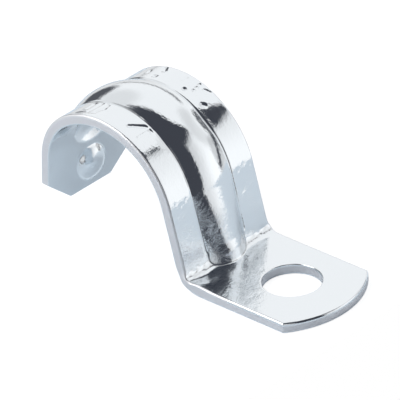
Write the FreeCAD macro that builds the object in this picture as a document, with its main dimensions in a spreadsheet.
import FreeCAD, Part
import math
import os

import Sketcher

# One-hole conduit strap that springs onto the conduit, pressed from a single strip of zinc-plated
# steel, in millimetres.
# The strip stands on its foot, rises up the slanted standing leg, runs over the conduit in a crown
# arc and a tighter shoulder arc, and ends in a free leg with cut corners. A rib is pressed outwards
# along its middle, with the matching groove on the conduit side, and a dimple is pressed inwards
# near the free leg's tip, where it snaps behind the conduit.
# Frame: +Z up, away from the wall, +X from the conduit towards the foot, Y along the conduit. The
# origin is the middle of the conduit seat: on the crown arc's axis, halfway across the strip.

SIZES = [
    # alias, value, meaning
    ("strip_width", 15.9, "width of the strip over the arch"),
    ("foot_width", 16.3, "width of the foot, where the rib does not draw the strip in"),
    ("sheet", 1.4, "thickness of the sheet"),
    ("seat_radius", 10.67, "inner radius of the crown arc"),
    ("shoulder_radius", 8.05, "inner radius of the tighter arc on the free side"),
    ("crown_reach", 122.0, "angle from +X where the crown arc meets the shoulder arc, degrees"),
    ("axis_height", 8.3, "height of the crown arc's axis above the foot's underside"),
    ("leg_lean", 12.7, "outward lean of the standing leg, degrees"),
    ("free_lean", 5.3, "outward lean of the free leg, degrees"),
    ("free_end_gap", 3.4, "height of the free leg's tip above the foot's underside"),
    ("bend_radius", 3.0, "upper radius of the bend between leg and foot"),
    ("foot_reach", 33.5, "from the crown arc's axis to the foot's far end"),
    ("foot_end_radius", 12.4, "plan radius of the foot's far end"),
    ("spread_length", 4.0, "length over which the strip widens into the foot"),
    ("hole_reach", 24.4, "from the crown arc's axis to the fixing hole's axis"),
    ("hole_shift", 0.4, "sideways shift of the fixing hole"),
    ("hole_diameter", 7.8, "diameter of the fixing hole"),
    ("corner_cut_across", 4.2, "free leg's corner cut, across the strip"),
    ("corner_cut_up", 3.6, "free leg's corner cut, up the leg"),
    ("rib_width", 7.1, "width of the rib over the crown"),
    ("rib_height", 0.8, "height of the rib over the crown"),
    ("rib_foot_width", 6.8, "width of the rib at its foot end"),
    ("rib_foot_height", 1.5, "height of the rib at its foot end"),
    ("rib_reach", 163.0, "angle from +X where the rib starts to sink on the free side, degrees"),
    ("rib_sink_radius", 3.0, "outer radius of the arc on which the rib sinks into the strip"),
    ("sink_overrun", 3.0, "how far that arc runs on below the strip's surface, degrees"),
    ("dimple_radius", 2.2, "plan radius of the dimple on the conduit side"),
    ("dimple_height", 0.9, "height of the dimple"),
    ("dimple_rise", 3.6, "height of the dimple's centre above the free leg's tip"),
    ("rim_round", 0.3, "rollover of the punched edges on the upper side"),
    ("edge_overlap", 0.2, "how far the rib's section starts inside the strip"),
]

doc = FreeCAD.newDocument("conduit_strap")
sheet = doc.addObject("Spreadsheet::Sheet", "Sizes")
for row, (alias, number, meaning) in enumerate(SIZES, start=1):
    sheet.set(f"A{row}", str(number))
    sheet.setAlias(f"A{row}", alias)
    sheet.set(f"B{row}", meaning)
doc.recompute()

# Worked-out places on the folded line, as expressions of the sheet's cells. The folded line is the
# strip's conduit side and the foot's underside. Points are in the XZ plane.
CELL = {alias: f"Sizes.{alias}" for alias, _number, _meaning in SIZES}
UNDERSIDE = "(-Sizes.axis_height)"
TIP = "(Sizes.free_end_gap - Sizes.axis_height)"
OUTER_RADIUS = "(Sizes.seat_radius + Sizes.sheet)"
LOWER_BEND = "(Sizes.bend_radius + Sizes.sheet)"
SHOULDER_OFFSET = "(Sizes.seat_radius - Sizes.shoulder_radius)"
SHOULDER_X = f"({SHOULDER_OFFSET} * cos(Sizes.crown_reach))"
SHOULDER_Z = f"({SHOULDER_OFFSET} * sin(Sizes.crown_reach))"
FREE_TOP_X = f"({SHOULDER_X} - Sizes.shoulder_radius * cos(Sizes.free_lean))"
FREE_TOP_Z = f"({SHOULDER_Z} + Sizes.shoulder_radius * sin(Sizes.free_lean))"
LEG_TOP_X = "(Sizes.seat_radius * cos(Sizes.leg_lean))"
LEG_TOP_Z = "(Sizes.seat_radius * sin(Sizes.leg_lean))"
LEG_LENGTH = (
    f"(({LEG_TOP_Z} + {LOWER_BEND} * (sin(Sizes.leg_lean) - 1) + Sizes.axis_height)"
    " / cos(Sizes.leg_lean))"
)
BEND_X = f"({LEG_TOP_X} + {LEG_LENGTH} * sin(Sizes.leg_lean) + {LOWER_BEND} * cos(Sizes.leg_lean))"
BEND_Z = f"({UNDERSIDE} + {LOWER_BEND})"
DIMPLE_Z = f"({TIP} + Sizes.dimple_rise)"
DIMPLE_X = f"({FREE_TOP_X} - ({FREE_TOP_Z} - {DIMPLE_Z}) * tan(Sizes.free_lean))"
DIMPLE_BALL = "((Sizes.dimple_radius^2 + Sizes.dimple_height^2) / (2 * Sizes.dimple_height))"
CLEAR = "(2 * Sizes.foot_reach)"

# A sketch's own numbers for the points of a line or an arc, and for its axes and its origin.
START, END, CENTRE = range(1, 4)
X_AXIS, Y_AXIS = range(-1, -3, -1)
ORIGIN = (X_AXIS, START)
NEAR = 1e-6


def value(expression):
    """Number that an expression of the sheet's cells comes to."""
    result = sheet.evalExpression(expression)
    return float(getattr(result, "Value", result))


def point(across, up):
    """Sketch point at two expressions."""
    return FreeCAD.Vector(value(across), value(up), 0)


def add_sketch(body, name, role, at=("0", "0", "0"), axis=None, turn="0"):
    """Sketch on one of the body's own origin planes, moved and turned by expressions."""
    sketch = body.newObject("Sketcher::SketchObject", name)
    plane = next(item for item in body.Origin.OriginFeatures if item.Role == role)
    sketch.AttachmentSupport = (plane, "")
    sketch.MapMode = "FlatFace"
    rotation = FreeCAD.Rotation(axis or FreeCAD.Vector(0, 0, 1), value(turn))
    sketch.AttachmentOffset = FreeCAD.Placement(FreeCAD.Vector(*[value(item) for item in at]), rotation)
    for letter, item in zip("xyz", at):
        if item != "0":
            sketch.setExpression(f"AttachmentOffset.Base.{letter}", item)
    if turn != "0":
        sketch.setExpression("AttachmentOffset.Rotation.Angle", f"({turn}) * 1 deg")
    return sketch


def add_line(sketch, start, end, construction=False):
    return sketch.addGeometry(Part.LineSegment(start, end), construction)


def add_arc(sketch, centre, radius, first, last):
    """Arc about a centre from one angle to another, anticlockwise, in degrees."""
    circle = Part.Circle(centre, FreeCAD.Vector(0, 0, 1), radius)
    return sketch.addGeometry(Part.ArcOfCircle(circle, math.radians(first), math.radians(last)))


def tie(sketch, kind, *where):
    sketch.addConstraint(Sketcher.Constraint(kind, *where))


def drive(sketch, kind, *where, by):
    """Dimension driven by an expression of the sheet's cells."""
    number = value(by)
    start = math.radians(number) if kind == "Angle" else number
    index = sketch.addConstraint(Sketcher.Constraint(kind, *where, start))
    sketch.setExpression(f"Constraints[{index}]", by)


def locate(sketch, geometry, end, across, up):
    """Place a point by its two distances from the sketch's origin."""
    for kind, by in (("DistanceX", across), ("DistanceY", up)):
        if abs(value(by)) < NEAR:
            tie(sketch, "PointOnObject", geometry, end, Y_AXIS if kind == "DistanceX" else X_AXIS)
        else:
            drive(sketch, kind, *ORIGIN, geometry, end, by=by)


def add_spoke(sketch, arc, end, by):
    """Construction line from an arc's centre to one of its ends, at an angle given as an expression."""
    shape = sketch.Geometry[arc]
    tip = shape.StartPoint if end == START else shape.EndPoint
    spoke = add_line(sketch, shape.Center, tip, construction=True)
    tie(sketch, "Coincident", spoke, START, arc, CENTRE)
    tie(sketch, "Coincident", spoke, END, arc, end)
    drive(sketch, "Angle", spoke, by=by)


def close_outline(sketch, points):
    """Closed outline of straight lines through points given as pairs of expressions."""
    corners = [point(*pair) for pair in points]
    lines = [add_line(sketch, corners[i - 1], corners[i]) for i in range(len(corners))]
    for i, line in enumerate(lines):
        tie(sketch, "Coincident", line, END, lines[(i + 1) % len(lines)], START)
        locate(sketch, line, END, *points[i])
    return lines


def add_feature(body, kind, name, **properties):
    """Feature of the body, set up and recomputed, with its effect on the volume checked."""
    before = body.Shape.Volume if body.Tip else 0.0
    feature = body.newObject(f"PartDesign::{kind}", name)
    for key, setting in properties.items():
        setattr(feature, key, setting)
    doc.recompute()
    change = feature.Shape.Volume - before
    cuts = kind in ("Pocket", "Groove", "SubtractivePipe", "SubtractiveLoft", "Fillet")
    if "Invalid" in feature.State or change * (-1 if cuts else 1) <= 0:
        raise RuntimeError(f"{name} did not build: {feature.State}, volume change {change:.3f}")
    return feature


def add_folded_strip(body):
    """The strip as a flat section carried along its folded line, from the foot to the free tip."""
    line = add_sketch(body, "FoldedLine", "XZ_Plane")
    lean = value(CELL["leg_lean"])
    free = value(CELL["free_lean"])
    reach = value(CELL["crown_reach"])
    tip_x = f"({DIMPLE_X} - Sizes.dimple_rise * tan(Sizes.free_lean))"
    leg_end_x = f"({LEG_TOP_X} + {LEG_LENGTH} * sin(Sizes.leg_lean))"
    leg_end_z = f"({LEG_TOP_Z} - {LEG_LENGTH} * cos(Sizes.leg_lean))"
    foot = add_line(line, point(CELL["foot_reach"], UNDERSIDE), point(BEND_X, UNDERSIDE))
    bend = add_arc(line, point(BEND_X, BEND_Z), value(LOWER_BEND), 180 + lean, 270)
    leg = add_line(line, point(leg_end_x, leg_end_z), point(LEG_TOP_X, LEG_TOP_Z))
    crown = add_arc(line, point("0", "0"), value(CELL["seat_radius"]), lean, reach)
    shoulder_centre = point(SHOULDER_X, SHOULDER_Z)
    shoulder = add_arc(line, shoulder_centre, value(CELL["shoulder_radius"]), reach, 180 - free)
    free_leg = add_line(line, point(FREE_TOP_X, FREE_TOP_Z), point(tip_x, TIP))
    tie(line, "Tangent", foot, END, bend, END)
    tie(line, "Tangent", bend, START, leg, START)
    tie(line, "Tangent", leg, END, crown, START)
    tie(line, "Tangent", crown, END, shoulder, START)
    tie(line, "Tangent", shoulder, END, free_leg, START)
    tie(line, "Coincident", crown, CENTRE, *ORIGIN)
    tie(line, "Horizontal", foot)
    locate(line, foot, START, CELL["foot_reach"], UNDERSIDE)
    drive(line, "Radius", bend, by=LOWER_BEND)
    drive(line, "Radius", crown, by=CELL["seat_radius"])
    drive(line, "Radius", shoulder, by=CELL["shoulder_radius"])
    add_spoke(line, crown, END, CELL["crown_reach"])
    drive(line, "Angle", leg, by="90 + Sizes.leg_lean")
    drive(line, "Angle", free_leg, by="-90 - Sizes.free_lean")
    drive(line, "DistanceY", *ORIGIN, free_leg, END, by=TIP)
    section = add_sketch(body, "StripSection", "YZ_Plane", at=("0", "0", CELL["foot_reach"]))
    half = "(Sizes.foot_width / 2)"
    top = f"({UNDERSIDE} + Sizes.sheet)"
    close_outline(section, [(f"-{half}", UNDERSIDE), (half, UNDERSIDE), (half, top), (f"-{half}", top)])
    doc.recompute()
    return add_feature(body, "AdditivePipe", "FoldedStrip", Profile=section, Spine=(line, []))


def trim_plan(body):
    """Cut away what lies outside the plan: straight sides, the widening foot and its round end."""
    plan = add_sketch(body, "Plan", "XY_Plane")
    arch = "(Sizes.strip_width / 2)"
    foot = "(Sizes.foot_width / 2)"
    far = CLEAR
    widened = f"({LEG_TOP_X} + Sizes.spread_length)"
    end_centre = "(Sizes.foot_reach - Sizes.foot_end_radius)"
    corner = f"({end_centre} + sqrt(Sizes.foot_end_radius^2 - {foot}^2))"
    for sign in ("-", ""):
        edge, wide, out = f"({sign}{arch})", f"({sign}{foot})", f"({sign}{far})"
        close_outline(plan, [
            (f"-{far}", edge), (LEG_TOP_X, edge), (widened, wide), (widened, out), (f"-{far}", out)])
    half_angle = math.degrees(math.asin(value(foot) / value(CELL["foot_end_radius"])))
    arc = add_arc(plan, point(end_centre, "0"), value(CELL["foot_end_radius"]), -half_angle, half_angle)
    corners = [(corner, foot), (corner, far), (far, far), (far, f"-{far}"), (corner, f"-{far}"),
               (corner, f"-{foot}")]
    lines = [add_line(plan, point(*a), point(*b)) for a, b in zip(corners, corners[1:])]
    tie(plan, "Coincident", arc, END, lines[0], START)
    for first, second in zip(lines, lines[1:]):
        tie(plan, "Coincident", first, END, second, START)
    tie(plan, "Coincident", lines[-1], END, arc, START)
    for line, place in zip(lines, corners[1:-1]):
        locate(plan, line, END, *place)
    tie(plan, "PointOnObject", arc, CENTRE, X_AXIS)
    drive(plan, "DistanceX", *ORIGIN, arc, CENTRE, by=end_centre)
    drive(plan, "Radius", arc, by=CELL["foot_end_radius"])
    drive(plan, "DistanceY", *ORIGIN, arc, END, by=foot)
    drive(plan, "DistanceY", *ORIGIN, arc, START, by=f"-{foot}")
    return add_feature(body, "Pocket", "PlanTrim", Profile=plan, Type="ThroughAll", Midplane=True)


def cut_free_corners(body):
    """Cut both corners off the free leg's tip."""
    cuts = add_sketch(body, "CornerCuts", "YZ_Plane")
    half = "(Sizes.strip_width / 2)"
    inner = f"({half} - Sizes.corner_cut_across)"
    out = "Sizes.strip_width"
    low = f"({TIP} - Sizes.sheet)"
    shoulder = f"({TIP} + Sizes.corner_cut_up)"
    for sign in ("-", ""):
        close_outline(cuts, [(f"{sign}{inner}", TIP), (f"{sign}{inner}", low), (f"{sign}{out}", low),
                             (f"{sign}{out}", shoulder), (f"{sign}{half}", shoulder)])
    return add_feature(body, "Pocket", "FreeCorners", Profile=cuts, Type="ThroughAll", Reversed=False)


def rib_section(body, name, surface, width, height, inside, along="0"):
    """Round-topped section of the rib, or of its groove where inside is true.

    It lies square to the standing leg, a given way down from the crown arc's end. The groove's round
    top has the rib's own centre and a radius smaller by the sheet, so the wall keeps its thickness.
    """
    at = (f"({along}) * sin(Sizes.leg_lean)", "0", f"-({along}) * cos(Sizes.leg_lean)")
    if along == "0":
        at = ("0", "0", "0")
    section = add_sketch(body, name, "XY_Plane", at, FreeCAD.Vector(0, 1, 0), "-Sizes.leg_lean")
    rib_round = f"((({width})^2 / 4 + ({height})^2) / (2 * {height}))"
    radius = f"({rib_round} - Sizes.sheet)" if inside else rib_round
    base = f"({surface} - Sizes.edge_overlap)"
    centre = f"({surface} + {height} - {radius})"
    half_angle = math.degrees(math.acos((value(surface) - value(centre)) / value(radius)))
    arc = add_arc(section, point(centre, "0"), value(radius), -half_angle, half_angle)
    half = value(radius) * math.sin(math.radians(half_angle))
    places = [(value(surface), half), (value(base), half), (value(base), -half), (value(surface), -half)]
    corners = [FreeCAD.Vector(x, y, 0) for x, y in places]
    lines = [add_line(section, a, b) for a, b in zip(corners, corners[1:])]
    tie(section, "Coincident", arc, END, lines[0], START)
    tie(section, "Coincident", lines[0], END, lines[1], START)
    tie(section, "Coincident", lines[1], END, lines[2], START)
    tie(section, "Coincident", lines[2], END, arc, START)
    tie(section, "Horizontal", lines[0])
    tie(section, "Vertical", lines[1])
    tie(section, "Horizontal", lines[2])
    tie(section, "PointOnObject", arc, CENTRE, X_AXIS)
    drive(section, "DistanceX", *ORIGIN, arc, CENTRE, by=centre)
    drive(section, "Radius", arc, by=radius)
    drive(section, "DistanceX", *ORIGIN, arc, END, by=surface)
    drive(section, "DistanceX", *ORIGIN, arc, START, by=surface)
    drive(section, "DistanceX", *ORIGIN, lines[1], END, by=base)
    return section


def rib_line(body, name, offset):
    """Line that the rib follows, a given way out from the folded line: crown, shoulder and sink."""
    line = add_sketch(body, name, "XZ_Plane")
    lean = value(CELL["leg_lean"])
    reach = value(CELL["crown_reach"])
    rib_end = value(CELL["rib_reach"])
    crown_radius = f"(Sizes.seat_radius + {offset})"
    shoulder_radius = f"(Sizes.shoulder_radius + {offset})"
    sink_radius = f"(Sizes.rib_sink_radius - Sizes.sheet + {offset})"
    spoke = "(Sizes.shoulder_radius + Sizes.sheet - Sizes.rib_sink_radius)"
    sink_x = f"({SHOULDER_X} + {spoke} * cos(Sizes.rib_reach))"
    sink_z = f"({SHOULDER_Z} + {spoke} * sin(Sizes.rib_reach))"
    top = f"({sink_radius} + Sizes.rib_height)"
    level = f"acos(({shoulder_radius}^2 - {spoke}^2 - {top}^2) / (2 * {spoke} * {top}))"
    sunk = f"({level} / 1 deg + Sizes.sink_overrun)"
    crown = add_arc(line, point("0", "0"), value(crown_radius), lean, reach)
    shoulder = add_arc(line, point(SHOULDER_X, SHOULDER_Z), value(shoulder_radius), reach, rib_end)
    sink = add_arc(line, point(sink_x, sink_z), value(sink_radius), rib_end, rib_end + value(sunk))
    tie(line, "Coincident", crown, CENTRE, *ORIGIN)
    tie(line, "Tangent", crown, END, shoulder, START)
    tie(line, "Tangent", shoulder, END, sink, START)
    drive(line, "Radius", crown, by=crown_radius)
    drive(line, "Radius", shoulder, by=shoulder_radius)
    drive(line, "Radius", sink, by=sink_radius)
    add_spoke(line, crown, START, CELL["leg_lean"])
    add_spoke(line, crown, END, CELL["crown_reach"])
    add_spoke(line, shoulder, END, CELL["rib_reach"])
    add_spoke(line, sink, END, f"Sizes.rib_reach + {sunk}")
    return line


def press_rib(body, inside):
    """The rib over crown and shoulder, and its tapered run down the leg into the bend.

    With inside true it is the groove instead, cut from the conduit side.
    """
    name, kind = ("Groove", "Subtractive") if inside else ("Rib", "Additive")
    offset, surface, bend = ("0", CELL["seat_radius"], LOWER_BEND) if inside else (
        CELL["sheet"], OUTER_RADIUS, CELL["bend_radius"])
    foot_height = CELL["rib_foot_height"]
    # The straight run ends where its top has sunk into the bend, with a little to spare.
    run = f"({LEG_LENGTH} + sqrt({foot_height} * (2 * {bend} - {foot_height})) + Sizes.edge_overlap / 2)"
    line = rib_line(body, f"{name}Line", offset)
    crown = rib_section(body, f"{name}CrownSection", surface, CELL["rib_width"],
                        CELL["rib_height"], inside)
    foot = rib_section(body, f"{name}FootSection", surface, CELL["rib_foot_width"],
                       foot_height, inside, along=run)
    doc.recompute()
    add_feature(body, f"{kind}Pipe", f"{name}OverArch", Profile=crown, Spine=(line, []))
    start = rib_section(body, f"{name}LegSection", surface, CELL["rib_width"],
                        CELL["rib_height"], inside)
    doc.recompute()
    add_feature(body, f"{kind}Loft", f"{name}DownLeg", Profile=start, Sections=[foot], Ruled=True)


def press_dimple(body, inside):
    """Ball-ended dimple on the free leg; with inside true, the hollow that the punch left outside."""
    name = "DimpleHollow" if inside else "Dimple"
    # Local up runs square out of the conduit side, from the leg's conduit-side face.
    at = (DIMPLE_X, DIMPLE_Z, "0")
    profile = add_sketch(body, f"{name}Profile", "XZ_Plane", at=at, turn="-90 - Sizes.free_lean")
    centre = f"(Sizes.dimple_height - {DIMPLE_BALL})"
    radius = f"({DIMPLE_BALL} - Sizes.sheet)" if inside else DIMPLE_BALL
    base = "(-Sizes.sheet)" if inside else "(-Sizes.edge_overlap)"
    middle = value(centre)
    top = middle + value(radius)
    low = value(base)
    half_angle = math.asin((low - middle) / value(radius))
    rim = value(radius) * math.cos(half_angle)
    arc = add_arc(profile, FreeCAD.Vector(0, middle, 0), value(radius), math.degrees(half_angle), 90)
    floor = add_line(profile, FreeCAD.Vector(0, low, 0), FreeCAD.Vector(rim, low, 0))
    axis = add_line(profile, FreeCAD.Vector(0, top, 0), FreeCAD.Vector(0, low, 0))
    tie(profile, "Coincident", floor, END, arc, START)
    tie(profile, "Coincident", arc, END, axis, START)
    tie(profile, "Coincident", axis, END, floor, START)
    tie(profile, "PointOnObject", arc, CENTRE, Y_AXIS)
    tie(profile, "PointOnObject", arc, END, Y_AXIS)
    tie(profile, "PointOnObject", axis, END, Y_AXIS)
    tie(profile, "Horizontal", floor)
    drive(profile, "DistanceY", *ORIGIN, arc, CENTRE, by=centre)
    drive(profile, "Radius", arc, by=radius)
    drive(profile, "DistanceY", *ORIGIN, axis, END, by=base)
    kind = "Groove" if inside else "Revolution"
    doc.recompute()
    return add_feature(body, kind, name, Profile=profile, ReferenceAxis=(profile, ["V_Axis"]), Angle=360)


def punch_hole(body):
    """The fixing hole through the foot."""
    hole = add_sketch(body, "HoleOutline", "XY_Plane")
    centre = point(CELL["hole_reach"], CELL["hole_shift"])
    radius = value("Sizes.hole_diameter / 2")
    rim = hole.addGeometry(Part.Circle(centre, FreeCAD.Vector(0, 0, 1), radius))
    locate(hole, rim, CENTRE, CELL["hole_reach"], CELL["hole_shift"])
    drive(hole, "Diameter", rim, by=CELL["hole_diameter"])
    return add_feature(body, "Pocket", "FixingHole", Profile=hole, Type="ThroughAll", Midplane=True)


def round_rims(body):
    """Rollover of the punched edges: the hole's upper rim and the foot's round end."""
    shape = body.Shape
    top = value(f"{UNDERSIDE} + Sizes.sheet")
    rims = []
    for radius in (value("Sizes.hole_diameter / 2"), value(CELL["foot_end_radius"])):
        found = []
        for number, edge in enumerate(shape.Edges, start=1):
            box = edge.BoundBox
            level = box.ZLength < NEAR and abs(box.ZMax - top) < NEAR
            if edge.Degenerated or not level or not isinstance(edge.Curve, Part.Circle):
                continue
            if abs(edge.Curve.Radius - radius) < NEAR:
                found.append(f"Edge{number}")
        if not found:
            raise RuntimeError(f"no rim of radius {radius} on top of the foot")
        rims += found
    punched = body.Tip
    rounding = add_feature(body, "Fillet", "PunchedRims", Base=(punched, rims),
                           Radius=value(CELL["rim_round"]))
    rounding.setExpression("Radius", CELL["rim_round"])
    doc.recompute()


body = doc.addObject("PartDesign::Body", "Strap")
body.Label = "strap"
add_folded_strip(body)
trim_plan(body)
cut_free_corners(body)
for inside in (False, True):
    press_rib(body, inside)
    press_dimple(body, inside)
punch_hole(body)
round_rims(body)

for item in doc.Objects:
    faults = [state for state in item.State if state in ("Invalid", "Error")]
    if faults:
        raise RuntimeError(f"{item.Name} is {faults}")
shape = body.Shape
if shape.isNull() or not shape.isValid() or len(shape.Solids) != 1:
    raise RuntimeError("the strap is not one valid solid")
print(f"{body.Label}: {shape.Volume:.2f} mm3, one solid of {len(shape.Faces)} faces")
os.makedirs("parts", exist_ok=True)
shape.exportStep(f"parts/{body.Label}.step")
